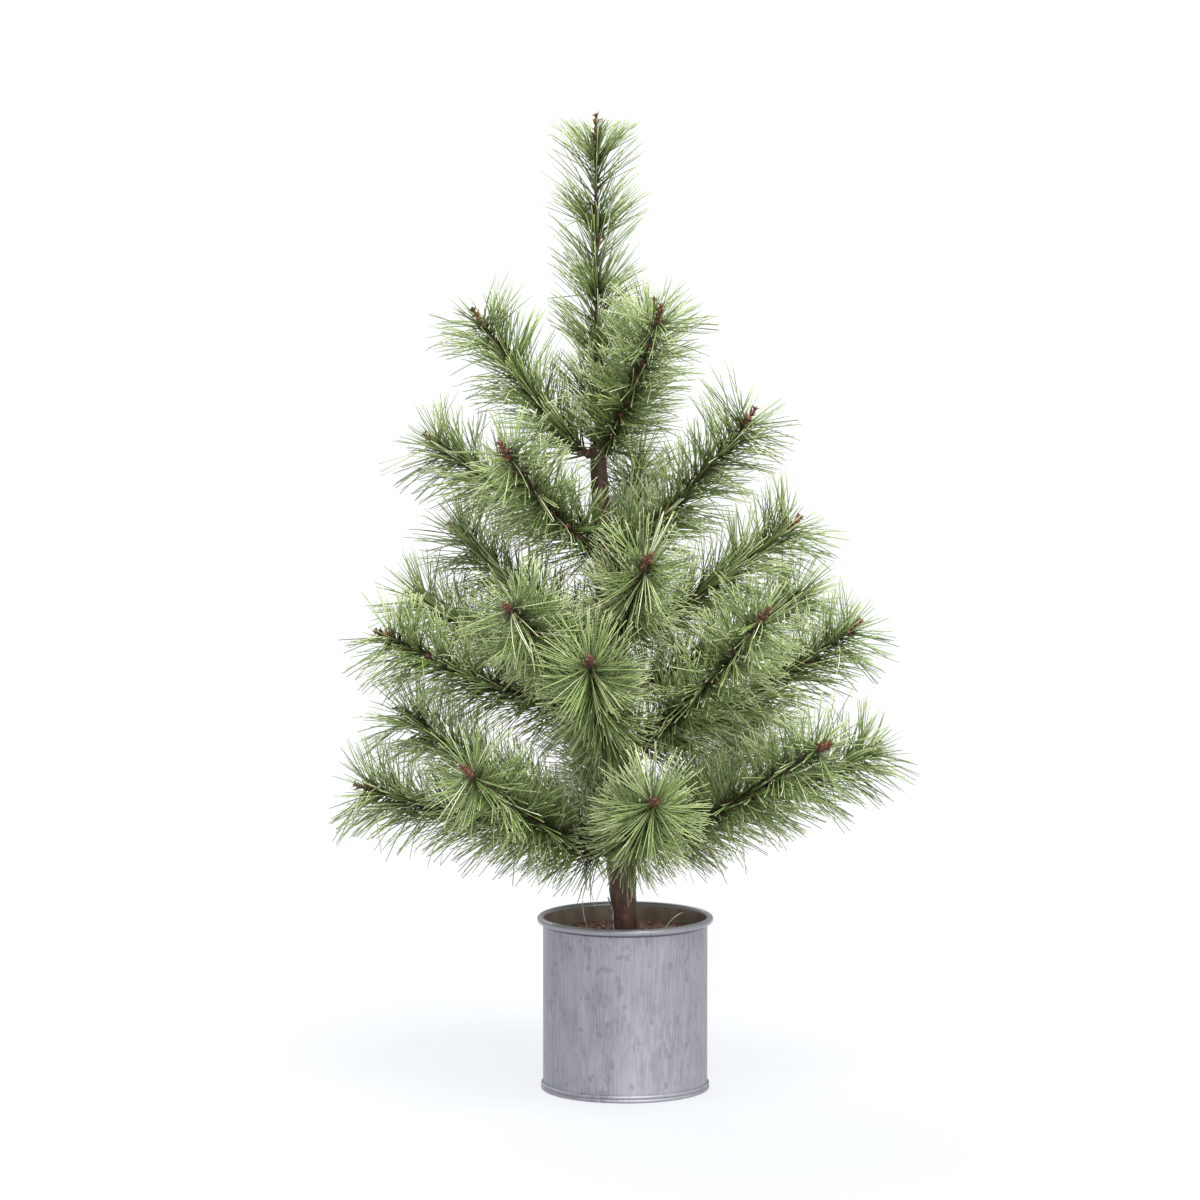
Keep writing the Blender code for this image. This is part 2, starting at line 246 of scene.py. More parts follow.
def mottled(name, dark, light, grain, roughness, relief, metallic=0.0, stretch=(1, 1, 1)):
    """A dull surface mottled between two colours, with grain of the given size and relief, in metres."""
    material, tree, shader = surface(name, metallic=metallic)
    place = node(tree, "ShaderNodeTexCoord").outputs["Object"]
    place = node(tree, "ShaderNodeMapping", {"Vector": place, "Scale": stretch}).outputs[0]
    fine = node(tree, "ShaderNodeTexNoise", {"Vector": place, "Scale": 1 / grain, "Detail": 5}).outputs[0]
    broad = node(
        tree, "ShaderNodeTexNoise", {"Vector": place, "Scale": 1 / (5 * grain), "Detail": 2}
    ).outputs[0]
    both = node(tree, "ShaderNodeMath", {0: fine, 1: broad}, operation="ADD").outputs[0]
    share = node(tree, "ShaderNodeMapRange", {0: both, 1: 0.75, 2: 1.25}).outputs[0]
    tone = node(
        tree, "ShaderNodeMix", {0: share, 6: colour(dark), 7: colour(light)}, data_type="RGBA"
    ).outputs[2]
    tree.links.new(tone, shader.inputs["Base Color"])
    rough = node(
        tree, "ShaderNodeMapRange", {0: fine, 1: 0.3, 2: 0.7, 3: roughness - 0.1, 4: roughness + 0.08}
    ).outputs[0]
    tree.links.new(rough, shader.inputs["Roughness"])
    bump = node(tree, "ShaderNodeBump", {"Strength": 0.6, "Distance": relief, "Height": fine})
    tree.links.new(bump.outputs[0], shader.inputs["Normal"])
    return material


def cut_needles():
    """Needles cut from extruded PVC: satin, from yellow-green to deep green, each with its own shade. Each
    is darker towards its root, a painted shade for the inside of the spray, and paler towards its tip,
    painted light on the spray's outer ends, so that a spray reads as many separate needles and not as one
    mass.
    The map holds the shade across it and the length along it, so both stay on the needle."""
    material, tree, shader = surface("PVC needles, extruded", roughness=0.42)
    grown = node(tree, "ShaderNodeUVMap", uv_map="OFBake").outputs[0]
    split = node(tree, "ShaderNodeSeparateXYZ", {0: grown})
    shade, along = split.outputs[0], split.outputs[1]
    blend = node(tree, "ShaderNodeValToRGB", {0: shade})
    shades = ((0.0, "#56613A"), (0.3, "#73864C"), (0.6, "#94AB62"), (0.8, "#B6C28A"), (1.0, "#D8DCBC"))
    while len(blend.color_ramp.elements) < len(shades):
        blend.color_ramp.elements.new(0.5)
    for stop, (place, code) in zip(blend.color_ramp.elements, shades):
        stop.position = place
        stop.color = colour(code)
    # Painted shade: the root end of each needle is darkened towards #2E3720, standing for the shade inside
    # the spray.
    root_shade_share = node(tree, "ShaderNodeMapRange", {0: along, 1: 0.0, 2: 0.45, 3: 0.72, 4: 0.0}).outputs[0]
    root_shaded = node(
        tree, "ShaderNodeMix", {0: root_shade_share, 6: blend.outputs[0], 7: colour("#2E3720")}, data_type="RGBA"
    ).outputs[2]
    # Painted light: the tip end of each needle is paled towards #CBD2A4, standing for the light on the
    # spray's outer ends.
    tip_light_share = node(tree, "ShaderNodeMapRange", {0: along, 1: 0.8, 2: 1.0, 3: 0.0, 4: 0.6}).outputs[0]
    tip_lit = node(
        tree, "ShaderNodeMix", {0: tip_light_share, 6: root_shaded, 7: colour("#CBD2A4")}, data_type="RGBA"
    ).outputs[2]
    tree.links.new(tip_lit, shader.inputs["Base Color"])
    return material


# ---------------------------------------------------------------- mesh tools


def piece(name, mesh, materials, body, slot, *replaced):
    """Adds a finished mesh as a piece that rides on a body and stands for the nodes it replaces."""
    made = bpy.data.objects.new(name, mesh)
    bpy.context.scene.collection.objects.link(made)
    for material in materials:
        mesh.materials.append(material)
    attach(made, body)
    if replaced:
        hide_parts(*replaced)
    return made


def finished(bm, name, sharp=40):
    """Turns a bmesh into a smooth-shaded mesh whose edges over `sharp` degrees stay crisp."""
    mesh = bpy.data.meshes.new(name)
    bm.to_mesh(mesh)
    bm.free()
    mesh.shade_smooth()
    mesh.set_sharp_from_angle(angle=math.radians(sharp))
    return mesh


def face_outwards(bm):
    """Merges doubled points, and turns every face of a closed bmesh outwards."""
    bmesh.ops.remove_doubles(bm, verts=bm.verts, dist=0.001 * MM)
    bmesh.ops.recalc_face_normals(bm, faces=bm.faces)
    if bm.calc_volume(signed=True) < 0:
        bmesh.ops.reverse_faces(bm, faces=bm.faces)


def turned(profile, closed):
    """A bmesh turned round the upright axis from (radius, height) points."""
    bm = bmesh.new()
    line = [bm.verts.new((radius, 0, height)) for radius, height in profile]
    pairs = list(zip(line, line[1:])) + ([(line[-1], line[0])] if closed else [])
    edges = [bm.edges.new(pair) for pair in pairs]
    bmesh.ops.spin(
        bm, geom=line + edges, axis=(0, 0, 1), cent=(0, 0, 0), angle=math.tau, steps=POT_STEPS,
        use_merge=True,
    )
    face_outwards(bm)
    return bm


def arc(centre, radius, start, turn, steps):
    """Points along an arc of a (radius, height) profile; a negative turn runs clockwise."""
    angles = [start + turn * step / steps for step in range(steps + 1)]
    return [(centre[0] + radius * math.cos(a), centre[1] + radius * math.sin(a)) for a in angles]


def swept(points, radii, resolution):
    """A bmesh tube with closed ends along a line of points."""
    curve = bpy.data.curves.new("path", "CURVE")
    curve.dimensions = "3D"
    curve.bevel_depth = 1.0
    curve.bevel_resolution = resolution
    curve.use_fill_caps = True
    spline = curve.splines.new("POLY")
    spline.points.add(len(points) - 1)
    for spot, point, radius in zip(spline.points, points, radii):
        spot.co = (*point, 1)
        spot.radius = radius
    holder = bpy.data.objects.new("path", curve)
    bpy.context.scene.collection.objects.link(holder)
    graph = bpy.context.evaluated_depsgraph_get()
    mesh = bpy.data.meshes.new_from_object(holder.evaluated_get(graph))
    bm = bmesh.new()
    bm.from_mesh(mesh)
    bpy.data.objects.remove(holder)
    bpy.data.curves.remove(curve)
    bpy.data.meshes.remove(mesh)
    face_outwards(bm)
    return bm


def plant(bm, template, matrix):
    """Adds a copy of a small template mesh to a bmesh."""
    copy = template.copy()
    copy.transform(matrix)
    bm.from_mesh(copy)
    bpy.data.meshes.remove(copy)


def facing(direction, roll, origin, scale=(1, 1, 1)):
    """A matrix that stands a template, made along +Z, at an origin and along a direction."""
    turn = direction.to_track_quat("Z", "Y").to_matrix().to_4x4()
    return Matrix.Translation(origin) @ turn @ Matrix.Rotation(roll, 4, "Z") @ Matrix.Diagonal((*scale, 1))


def standing(direction, towards, origin, scale):
    """The same, with the template's +X turned towards a second direction."""
    third = direction.cross(towards).normalized()
    turn = Matrix((third.cross(direction), third, direction)).transposed().to_4x4()
    return Matrix.Translation(origin) @ turn @ Matrix.Diagonal((*scale, 1))


# ---------------------------------------------------------------- pot


def pot_wall(outside, inside):
    """The rolled wall with its rim curled outwards; the stained inside starts below the curl."""
    low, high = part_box("pot_wall")
    bead = high[0]
    radius = bead - 2 * RIM_CURL_RADIUS + SHEET
    centre = (radius - SHEET + RIM_CURL_RADIUS, high[2] - RIM_CURL_RADIUS)
    crest = arc(centre, RIM_CURL_RADIUS, math.pi, -RIM_CURL_TURN, 26)
    underside = arc(centre, RIM_CURL_RADIUS - SHEET, math.pi - RIM_CURL_TURN, RIM_CURL_TURN, 20)
    bm = turned([(radius, low[2]), (radius - SHEET, low[2]), *crest, *underside], True)
    for face in bm.faces:
        spot = face.calc_center_median()
        inner = math.hypot(spot.x, spot.y) < radius - 0.7 * SHEET
        face.material_index = int(inner and spot.z < centre[1])
    mesh = finished(bm, "pot_wall_sheet")
    return piece("pot_wall_sheet", mesh, [outside, inside], "stand", "zinc_sheet", "pot_wall")


def pot_base(outside):
    """The bottom with its edge folded up over the wall as two rounded beads with a groove between them."""
    outer, _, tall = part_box("pot_base")[1]
    bead = tall / 4
    wall_side = outer - SEAM_LEG
    lower = arc((outer - bead, bead), bead, -math.pi / 2, math.radians(150), 9)
    upper = arc((outer - bead, tall - bead), bead, -math.radians(60), math.radians(130), 9)
    groove = [(wall_side, tall - 0.15 * MM), (wall_side, SHEET), (wall_side - 2 * SHEET, SHEET)]
    leg = [
        (wall_side - 2 * SHEET, SEAM_INNER_HEIGHT),
        (wall_side - 3 * SHEET, SEAM_INNER_HEIGHT),
        (wall_side - 3 * SHEET, SHEET),
    ]
    bm = turned([(0, 0), *lower, *upper, *groove, *leg, (0, SHEET)], False)
    mesh = finished(bm, "pot_base_seam", 50)
    return piece("pot_base_seam", mesh, [outside], "stand", "zinc_sheet", "pot_base")


# ---------------------------------------------------------------- litter


def flake_template():
    """One shred of bark: a small block with some of its edges worn off."""
    bm = bmesh.new()
    bmesh.ops.create_cube(bm, size=1.0)
    bmesh.ops.bevel(
        bm, geom=bm.edges[:4], offset=0.25, offset_type="OFFSET", affect="EDGES", segments=1, profile=0.5,
        material=-1,
    )
    return finished(bm, "flake", 20)


def litter(material):
    """A crumbly bed of shredded bark: an uneven turned bed, set with several hundred flakes and shreds."""
    low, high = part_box("litter_layer")
    outer = high[0]
    middle = high[2] - LITTER_DIP
    rings = [LITTER_HOLE + (outer - LITTER_HOLE) * step / LITTER_RINGS for step in range(LITTER_RINGS + 1)]
    surface_line = [(radius, middle) for radius in reversed(rings)]
    bm = turned([(LITTER_HOLE, low[2]), (outer, low[2]), *surface_line], True)
    for vert in bm.verts:
        on_top = vert.co.z > middle - 0.1 * MM
        if on_top and LITTER_HOLE + 0.5 * MM < math.hypot(*vert.co.xy) < outer - 0.5 * MM:
            vert.co.z += 1.1 * MM * noise.noise(vert.co * 150) + 0.5 * MM * noise.noise(vert.co * 700)
    rng = np.random.default_rng(11)
    flake = flake_template()
    for _ in range(FLAKES):
        radius = math.sqrt(rng.uniform((LITTER_HOLE + 2 * MM) ** 2, (outer - 4 * MM) ** 2))
        angle = rng.uniform(0, math.tau)
        size = rng.uniform(0.6, 1.6)
        scale = (FLAKE_SIZE[0] * size, FLAKE_SIZE[1] * size * rng.uniform(0.6, 1.4), FLAKE_SIZE[2] * size)
        tilt = Vector((rng.normal(0, 0.35), rng.normal(0, 0.35), 1)).normalized()
        height = middle + rng.uniform(0.2, 0.9) * MM
        spot = Vector((radius * math.cos(angle), radius * math.sin(angle), height))
        plant(bm, flake, facing(tilt, rng.uniform(0, math.tau), spot, scale))
    bpy.data.meshes.remove(flake)
    mesh = finished(bm, "bark_litter", 30)
    return piece("bark_litter", mesh, [material], "stand", "brown_litter", "litter_layer")


# ---------------------------------------------------------------- trunk


def walled_tube(stations, segments):
    """A closed-walled tube from (centre x, height, radius) rings, up its outside and down its inside."""
    bm = bmesh.new()
    rings = [bmesh.ops.create_circle(bm, segments=segments, radius=1.0)["verts"]]
    edges = bm.edges[:]
    for _ in stations:
        grown = bmesh.ops.extrude_edge_only(bm, edges=edges)["geom"]
        rings.append([part for part in grown if isinstance(part, bmesh.types.BMVert)])
        edges = [part for part in grown if isinstance(part, bmesh.types.BMEdge)]
    for ring, (x, height, radius) in zip(rings, [*stations, stations[0]]):
        bmesh.ops.scale(bm, verts=ring, vec=(radius, radius, 1))
        bmesh.ops.translate(bm, verts=ring, vec=(x, 0, height))
    face_outwards(bm)
    return bm


def trunk_profile():
    """Heights, centre line and radius of the wrapped trunk, read from the rings of its CAD solid."""
    points = np.array([vert.co for vert in frame["nodes"]["trunk_wrap"].data.vertices])
    heights = np.unique(points[:, 2].round(4))
    rings = [points[abs(points[:, 2] - height) < 0.1 * MM] for height in heights]
    middles = np.array([(ring.max(0) + ring.min(0)) / 2 for ring in rings])
    offsets = [(ring - middle)[:, :2] for ring, middle in zip(rings, middles)]
    radii = [np.linalg.norm(offset, axis=1).max() for offset in offsets]
    return heights, middles[:, 0], np.array(radii)


def wind_tape(bm, heights, middles):
    """Steps the tube's outside out along one spiral, as lapped tape lies, and creases it a little."""
    for vert in bm.verts:
        out = Vector((vert.co.x - np.interp(vert.co.z, heights, middles), vert.co.y, 0))
        if out.length < TRUNK_BORE + 0.5 * MM:
            continue
        turn = math.atan2(out.y, out.x) / math.tau
        waver = 0.25 * noise.noise(Vector((out.x * 90, vert.co.z * 25, 3)))
        lap = (vert.co.z / TAPE_PITCH + turn + waver) % 1.0
        crease = TAPE_CREASE * noise.noise(Vector((out.x * 260, out.y * 260, vert.co.z * 90)))
        vert.co += out.normalized() * (TAPE_EDGE * (lap - 0.3) + crease)


def lump_template():
    """An uneven knob of tape, one unit in radius."""
    bm = bmesh.new()
    bmesh.ops.create_icosphere(bm, subdivisions=2, radius=1.0)
    for vert in bm.verts:
        vert.co *= 1 + 0.16 * noise.noise(vert.co * 2.1)
    return finished(bm, "lump", 60)


def trunk(material, joints):
    """The tape wound up the trunk in an overlapping spiral, swollen round each branch's root."""
    heights, middles, radii = trunk_profile()
    outside = []
    for z in np.arange(heights[0], heights[-1], 1.0 * MM):
        rounding = max(1 - (heights[-1] - z) / TRUNK_TOP_ROUNDING, 0) ** 2
        radius = (1 - 0.32 * rounding) * np.interp(z, heights, radii)
        outside.append((np.interp(z, heights, middles), z, radius))
    inside = [(x, z, TRUNK_BORE) for x, z, _ in reversed(outside[::20])]
    top = (*outside[-1][:2], TRUNK_BORE)
    foot = (*outside[0][:2], TRUNK_BORE)
    bm = walled_tube([*outside, top, *inside, foot], TRUNK_SIDES)
    wind_tape(bm, heights, middles)
    lump = lump_template()
    rng = np.random.default_rng(5)
    for joint in joints[:-1]:
        root = Vector(joint["pos_m"])
        size = rng.uniform(2.3, 2.8) * MM * (1.25 if root.z > TRUNK_TOP_HEIGHT else 1)
        out = Vector((-joint["axis"][1], joint["axis"][0], 0.25)).normalized()
        plant(bm, lump, facing(out, rng.uniform(0, 6), root - 0.8 * MM * out, (size, size, size * 1.1)))
    bpy.data.meshes.remove(lump)
    mesh = finished(bm, "trunk_tape", 55)
    return piece("trunk_tape", mesh, [material], "stand", "trunk_tape", "trunk_wrap")


def wire_end(material):
    """The twisted end of the binding wire, which sticks out of the trunk's foot into the pot."""
    start, end = Vector((-10.5, -6.5, 119)) * MM, Vector((-5.6, -9.0, 97)) * MM
    along = (end - start).normalized()
    side = along.orthogonal().normalized()
    other = along.cross(side)
    bm = bmesh.new()
    for half in (0, math.pi):
        points = []
        for step in range(61):
            share = step / 60
            angle = share * TWIST_TURNS * math.tau + half
            sway = 0.9 * MM * math.sin(share * 5) * Vector((1, 0, 0))
            twist = TWIST_RADIUS * (math.cos(angle) * side + math.sin(angle) * other)
            points.append(start.lerp(end, share) + sway + twist)
        strand = finished(swept(points, [STRAND_RADIUS] * len(points), 1), "strand", 80)
        bm.from_mesh(strand)
        bpy.data.meshes.remove(strand)
    return piece("binding_wire_end", finished(bm, "binding_wire_end", 80), [material], "stand", "steel_rod")


def loose_strands(material):
    """A springy offcut of trimming in the pot, and a fallen needle that leans on its rim."""
    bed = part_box("litter_layer")[1].z
    offcut = (Vector((21 * MM, -20 * MM, bed)), Vector((6, 0, 13)) * MM, Vector((14, 3, 15)) * MM)
    fallen = (Vector((-21 * MM, -26 * MM, bed)), Vector((-5, -6, 15)) * MM, Vector((-5, -13, 26)) * MM)
    shares = [step / 15 for step in range(16)]
    bm = bmesh.new()
    for start, bend, end in (offcut, fallen):
        points = [start + 2 * share * (1 - share) * bend + share**2 * end for share in shares]
        strand = finished(swept(points, [STRAND_RADIUS] * len(points), 1), "strand", 80)
        bm.from_mesh(strand)
        bpy.data.meshes.remove(strand)
    return piece("loose_strands", finished(bm, "loose_strands", 80), [material], "stand", "pine_needles")


# ---------------------------------------------------------------- branches


class Line:
    """A branch's centre line, from the joint at its root to the tip of its CAD stem, with small kinks."""

    def __init__(self, joint, number):
        self.root = Vector(joint["pos_m"])
        self.body = joint["child"]
        verts = np.array([vert.co for vert in frame["nodes"][f"{self.body}_stem"].data.vertices])
        far = np.linalg.norm(verts - np.array(self.root), axis=1)
        tip = Vector(verts[far > far.max() - 0.8 * MM].mean(0)) - self.root
        self.reach = Vector((tip.x, tip.y, 0))
        self.rise = tip.z
        rng = np.random.default_rng(100 + number)
        self.kinks = rng.normal(0, KINK, (KINKS, 2))
        upright = self.reach.length < 1 * MM
        self.side = Vector((0, 1, 0)) if upright else Vector((0, 0, 1)).cross(tip).normalized()
        self.over = tip.cross(self.side).normalized()
        self.length = tip.length

    def at(self, share):
        """The point at a share of the way from the root to the tip."""
        lift = (1 - STEM_UPTURN) * share + STEM_UPTURN * share**2
        point = self.root + self.reach * share + Vector((0, 0, self.rise * lift))
        stations = np.linspace(0, 1, len(self.kinks))
        fade = min(share * 6, 1.0)
        across = float(np.interp(share, stations, self.kinks[:, 0]))
        above = float(np.interp(share, stations, self.kinks[:, 1]))
        return point + fade * (across * self.side + above * self.over)

    def along(self, share):
        """The direction in which the branch grows there."""
        return (self.at(min(share + 0.02, 1.0)) - self.at(max(share - 0.02, 0.0))).normalized()


def stem(line, radius, flare, material):
    """A wire stem bound in brown tape, whose turns show as low ridges."""
    steps = int(line.length / STEM_STEP)
    points, radii = [], []
    for step in range(-2, steps + 1):
        share = max(step, 0) / steps
        collar = 1 + flare * math.exp(-share * line.length / STEM_COLLAR)
        thick = radius * collar * (1 - (1 - STEM_TIP_SHARE) * share) * (0.96 + 0.1 * (step % 2))
        if step < 0:
            points.append(line.root - line.along(0) * radius * (0.96, 0.6)[step + 2])
            radii.append(radius * (0.28, 0.8)[step + 2] * (1 + flare))
        else:
            points.append(line.at(share))
            radii.append(thick)
    bm = swept(points, radii, 2)
    mesh = finished(bm, f"{line.body}_wire", 60)
    return piece(f"{line.body}_wire", mesh, [material], line.body, "coated_wire", f"{line.body}_stem")


def bract_template():
    """A tuft of scales round a small swelling, like the husk that holds a pine's needles."""
    bm = bmesh.new()
    bmesh.ops.create_icosphere(bm, subdivisions=1, radius=1.8 * MM)
    bmesh.ops.scale(bm, verts=bm.verts, vec=(1, 1, 1.35))
    scale = bmesh.new()
    made = bmesh.ops.create_cone(
        scale, cap_ends=True, segments=4, radius1=1.2 * MM, radius2=0.2 * MM, depth=4.0 * MM
    )["verts"]
    bmesh.ops.scale(scale, verts=made, vec=(1, 0.4, 1))
    bmesh.ops.translate(scale, verts=made, vec=(0, 0, 1.8 * MM))
    scale_mesh = finished(scale, "scale", 60)
    for index in range(6):
        angle = index * 2.4
        lean = Vector((math.cos(angle), math.sin(angle), 0.95 - 0.25 * (index % 3))).normalized()
        start = Vector((math.cos(angle), math.sin(angle), -0.6 + 0.3 * (index % 4))) * 1.1 * MM
        plant(bm, scale_mesh, facing(lean, angle, start, (1, 1, 0.7 + 0.1 * (index % 4))))
    bpy.data.meshes.remove(scale_mesh)
    return finished(bm, "bract", 50)


def bracts(line, number, template, material):
    """The brown husks at even steps along a stem, and a bud of smaller ones one over another at its tip."""
    rng = np.random.default_rng(300 + number)
    leader = line.body == "leader"
    bud = [(-BUD_FOOT, 1.15), (-6 * MM, 1.0), (-2.5 * MM, 0.9), (0.5 * MM, 0.7)]
    husks = [(line.length + back, size * rng.uniform(0.9, 1.1)) for back, size in bud]
    spacing = BRACT_SPACING * (1.9 if leader else 1)
    for index in range(1, int((line.length - 12 * MM) / spacing) + 1):
        place = line.length - BUD_FOOT - index * spacing + rng.normal(0, 1.2) * MM
        husks.append((place, (1.0 if leader else 1.1) * rng.uniform(0.85, 1.15)))
    bm = bmesh.new()
    for place, size in husks:
        share = min(place / line.length, 1)
        past = max(place - line.length, 0)
        heading = (line.along(share) + Vector(rng.normal(0, 0.12, 3))).normalized()
        scale = (size, size, size * rng.uniform(1.0, 1.3))
        plant(bm, template, facing(heading, rng.uniform(0, 6), line.at(share) + past * heading, scale))
    name = f"{line.body}_bracts"
    return piece(name, finished(bm, name, 50), [material], line.body, "coated_wire")


def habit_of(line):
    """How a branch's needles grow: those that come straight forwards spread wide and take darker shades, a
    painted shade, and the leader's stand steep and in tiers, all ending level with its tip. The angles are
    those at the root and at the tip, in degrees, and the density is the needles on a metre of stem."""
    if line.body == "leader":
        return {
            "angles": (45, 42), "density": 4300, "hugging": 0.12, "shade": 0.38, "tier": 5.5 * MM,
            "bare_root": 1 * MM, "bare_tip": 5 * MM, "overhang": 2 * MM,
        }
    frontal = max(-line.reach.normalized().y, 0)
    return {
        "angles": (48 + 8 * frontal, 60 + 19 * frontal), "density": 5900 - 900 * frontal,
        # Painted shade: a branch that comes forwards gets darker needle shades, standing for the shade that
        # falls on it.
        "hugging": 0.26 * (1 - frontal), "shade": 0.45 - 0.08 * frontal, "tier": 0,
        "bare_root": (9 if line.root.z < LOW_BRANCHES else 0.5) * MM, "bare_tip": 8 * MM,
        "overhang": 11 * MM,
    }


def needle_template(bend, hook, shade):
    """One needle along +Z, a four-sided shaft with a blunt end, curved sideways by `bend` of its length and
    kinked by `hook` past its middle. It is mapped with its shade across the map and its length along it."""
    bm = bmesh.new()
    bmesh.ops.create_cone(
        bm, cap_ends=True, segments=4, radius1=NEEDLE_RADIUS, radius2=0.62 * NEEDLE_RADIUS,
        depth=NEEDLE_LENGTH,
    )
    bmesh.ops.translate(bm, verts=bm.verts, vec=(0, 0, NEEDLE_LENGTH / 2))
    long_edges = [edge for edge in bm.edges if edge.calc_length() > NEEDLE_LENGTH / 2]
    bmesh.ops.subdivide_edges(bm, edges=long_edges, cuts=2)
    layer = bm.loops.layers.uv.new("OFBake")
    for face in bm.faces:
        middle = face.calc_center_median()
        across = face.normal.cross(Vector((0, 0, 1)))
        capped = across.length < 0.5
        for loop in face.loops:
            along = loop.vert.co.z / NEEDLE_LENGTH
            off = loop.vert.co - middle
            if capped:
                along += 0.01 * math.copysign(1, off.y) * math.copysign(1, 0.5 - along)
                across = Vector((1, 0, 0))
            side = math.copysign(SHADE_WIDTH, off.dot(across))
            loop[layer].uv = (shade + side, 0.02 + 0.96 * along)
    for vert in bm.verts:
        along = vert.co.z / NEEDLE_LENGTH
        vert.co.x += NEEDLE_LENGTH * (bend * along**2 + hook * max(along - 0.5, 0))
    return finished(bm, "needle", 180)


def needle_templates():
    """Needles of six curvatures, the last one kinked, each in every shade."""
    shades = [0.03 + 0.94 * index / (NEEDLE_SHADES - 1) for index in range(NEEDLE_SHADES)]
    return [[needle_template(bend, hook, shade) for shade in shades] for bend, hook in NEEDLE_SHAPES]


def needles(line, number, templates, material, habit):
    """Close bundles of needles all along a stem, which fan out from its habit's first angle to its last."""
    rng = np.random.default_rng(500 + number)
    bm = bmesh.new()
    first, last = habit["bare_root"], line.length - habit["bare_tip"]
    angles = habit["angles"]
    count = int((last - first) * habit["density"] / NEEDLES_IN_BUNDLE)
    for index in range(count):
        place = first + (last - first) * (index + rng.uniform(0, 1)) / count
        place += habit["tier"] * math.sin(math.tau * (line.length - place - TIER_TOP) / TIER_SPACING)
        share = place / line.length
        axis = line.along(share)
        side = axis.cross(Vector((0, 1, 0.1))).normalized()
        around = index * GOLDEN_TURN + rng.normal(0, 0.5)
        out = Matrix.Rotation(around, 3, axis) @ side
        opening = angles[0] + (angles[1] - angles[0]) * share**3
        lean = math.radians(rng.normal(opening, 7))
        lean *= rng.uniform(0.3, 0.6) if rng.uniform() < habit["hugging"] else 1
        bundle_shade = rng.normal(habit["shade"], 0.2)
        stretch = rng.normal(1.0, 0.05)
        for _ in range(NEEDLES_IN_BUNDLE):
            stray = rng.uniform() < STRAY_SHARE
            turn = lean + math.radians(rng.normal(0, 5) + (rng.uniform(10, 45) if stray else 0))
            spread = Matrix.Rotation(math.radians(rng.normal(0, 9)), 3, axis) @ out
            heading = (math.cos(turn) * axis + math.sin(turn) * spread).normalized()
            start = line.at(share) + axis * rng.normal(0, 1.6 * MM) + spread * 0.9 * MM
            shape = templates[5 if stray and rng.uniform() < 0.6 else rng.integers(0, 5)]
            shade = bundle_shade + rng.normal(0, 0.16) + (0.25 if stray else 0)
            template = shape[int(min(max(shade, 0), 0.999) * NEEDLE_SHADES)]
            length = min(max(stretch * rng.normal(1, 0.05), 0.82), 1.12)
            room = line.length - place + habit["overhang"] * rng.uniform(0.6, 1.4)
            length = min(length, max(room / (NEEDLE_LENGTH * max(math.cos(turn), 0.1)), 0.25))
            across = heading.cross(spread).normalized()
            curl = Matrix.Rotation(rng.normal(0, 0.9), 3, heading) @ across.cross(heading)
            plant(bm, template, standing(heading, curl, start, (1, 1, length)))
    name = f"{line.body}_sprays"
    mesh = finished(bm, name, 180)
    return piece(name, mesh, [material], line.body, "pine_needles", f"{line.body}_needles")


# ---------------------------------------------------------------- stage


def camera():
    """A long lens, aimed at the middle of the tree."""
    data = bpy.data.cameras.new("camera")
    data.sensor_width = SENSOR_WIDTH
    data.lens = SENSOR_WIDTH * CAMERA_DISTANCE / FRAME_WIDTH
    data.clip_end = 200
    back = Vector((0, -math.cos(CAMERA_ELEVATION), math.sin(CAMERA_ELEVATION)))
    made = bpy.data.objects.new("camera", data)
    made.location = CAMERA_TARGET + CAMERA_DISTANCE * back
    made.rotation_euler = (-back).to_track_quat("-Z", "Y").to_euler()
    bpy.context.scene.collection.objects.link(made)
    bpy.context.scene.camera = made


def lamp(name, towards, strength, spread):
    """A very large soft panel far off in the given direction, even over the whole floor."""
    data = bpy.data.lights.new(name, "SUN")
    data.energy = strength
    data.angle = math.radians(spread)
    made = bpy.data.objects.new(name, data)
    made.rotation_euler = Vector(towards).to_track_quat("Z", "Y").to_euler()
    bpy.context.scene.collection.objects.link(made)


def floor():
    """A plain white sweep, wide enough to fill the view."""
    bm = bmesh.new()
    bmesh.ops.create_circle(bm, cap_ends=True, segments=64, radius=60)
    made = bpy.data.objects.new("floor", finished(bm, "floor"))
    bpy.context.scene.collection.objects.link(made)
    material, _, shader = surface(
        "white acrylic sweep, lit from below", roughness=0.9, emission_strength=0.8
    )
    shader.inputs["Base Color"].default_value = colour("#525252")
    shader.inputs["Emission Color"].default_value = colour("#F6FAFF")
    made.data.materials.append(material)
    made.visible_diffuse = False


def light():
    """A pale studio: a bright sky, one main panel high in front, and weaker ones before and behind."""
    world = bpy.data.worlds.new("studio")
    bpy.context.scene.world = world
    world.use_nodes = True
    sky = world.node_tree.nodes["Background"]
    sky.inputs["Color"].default_value = (1, 1, 1, 1)
    sky.inputs["Strength"].default_value = 0.56
    lamp("overhead", (0.13, -0.42, 1.0), 4.75, 28)
    lamp("front", (0.35, -1.0, 0.25), 1.5, 60)
    lamp("rear", (-0.35, 0.7, 0.9), 1.7, 50)
    bpy.context.scene.view_settings.view_transform = "Standard"


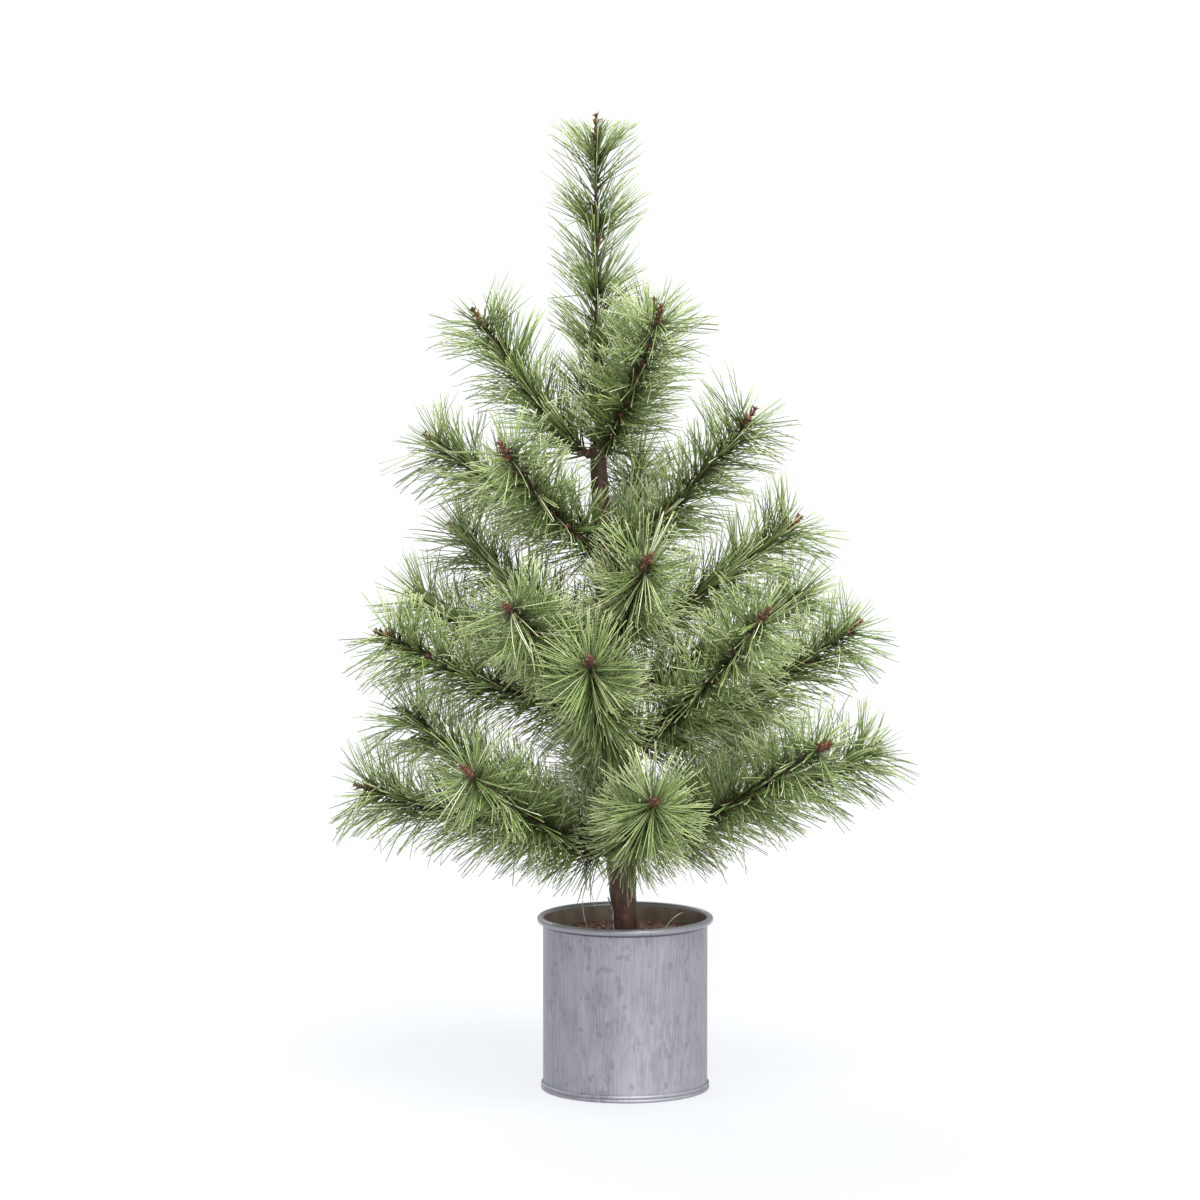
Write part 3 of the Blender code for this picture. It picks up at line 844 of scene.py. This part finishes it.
def cad_finishes():
    """Materials for the two hidden CAD nodes that keep their own shapes."""
    # Cast cement: a pale, dry grey with sandy grain.
    cement = mottled("cast cement", "#8C8A84", "#B4B1A9", 2.5 * MM, 0.9, 0.3 * MM)
    frame["nodes"]["ballast_block"].material_slots[0].material = cement
    # Drawn steel: a bright grey bar, with faint draw marks along it.
    steel = mottled(
        "drawn steel", "#7D7F83", "#A5A7AA", 1.5 * MM, 0.4, 0.02 * MM, metallic=1.0, stretch=(1, 1, 0.05)
    )
    frame["nodes"]["trunk_rod"].material_slots[0].material = steel


def stand():
    """The pot, its litter, the trunk and what lies loose in the pot's mouth."""
    zinc = rolled_zinc()
    pot_wall(zinc, stained_zinc())
    pot_base(zinc)
    # Bark, shredded and dried: a matt brown crumble that is dark in its gaps.
    litter(mottled("shredded bark", "#5E4238", "#B08E7E", 1.2 * MM, 0.85, 0.4 * MM))
    # Crepe paper tape, waxed and wound: dark brown with a dull shine, and fine creases that run up it.
    tape = mottled(
        "crepe paper tape, waxed", "#38271F", "#6C4D40", 1.6 * MM, 0.6, 0.3 * MM, stretch=(1, 1, 0.35)
    )
    trunk(tape, frame["joints"])
    # Soft wire, tinned and twisted: a thin bright thread against the dark trunk.
    wire_end(mottled("binding wire, tinned", "#77777A", "#D2D2D6", 0.6 * MM, 0.4, 0.02 * MM, metallic=0.8))
    # PVC trimming, cut and faded: a pale straw thread.
    loose_strands(mottled("PVC trimming, dried out", "#9A9683", "#CFCCBC", 2 * MM, 0.5, 0.05 * MM))


def branches():
    """Every stem with its husks and needles, the leader last."""
    # Steel wire bound in brown paper tape: dark, dull and finely ribbed, so that a stem reads as woody.
    wire = mottled("wire in brown tape", "#3A2620", "#65463A", 1.2 * MM, 0.6, 0.15 * MM)
    # Husks moulded in plastic and painted: a warmer red-brown, mottled.
    husk = mottled("moulded husk, painted brown", "#3E2A1E", "#80543E", 1.4 * MM, 0.6, 0.2 * MM)
    green = cut_needles()
    husk_mesh = bract_template()
    needle_meshes = needle_templates()
    for number, joint in enumerate(frame["joints"], 1):
        line = Line(joint, number)
        leader = line.body == "leader"
        stem(line, LEADER_STEM_RADIUS if leader else STEM_RADIUS, 1.6 if leader else 0.5, wire)
        bracts(line, number, husk_mesh, husk)
        needles(line, number, needle_meshes, green, habit_of(line))
    for mesh in [husk_mesh, *sum(needle_meshes, [])]:
        bpy.data.meshes.remove(mesh)


def main():
    camera()
    light()
    floor()
    cad_finishes()
    stand()
    branches()


main()
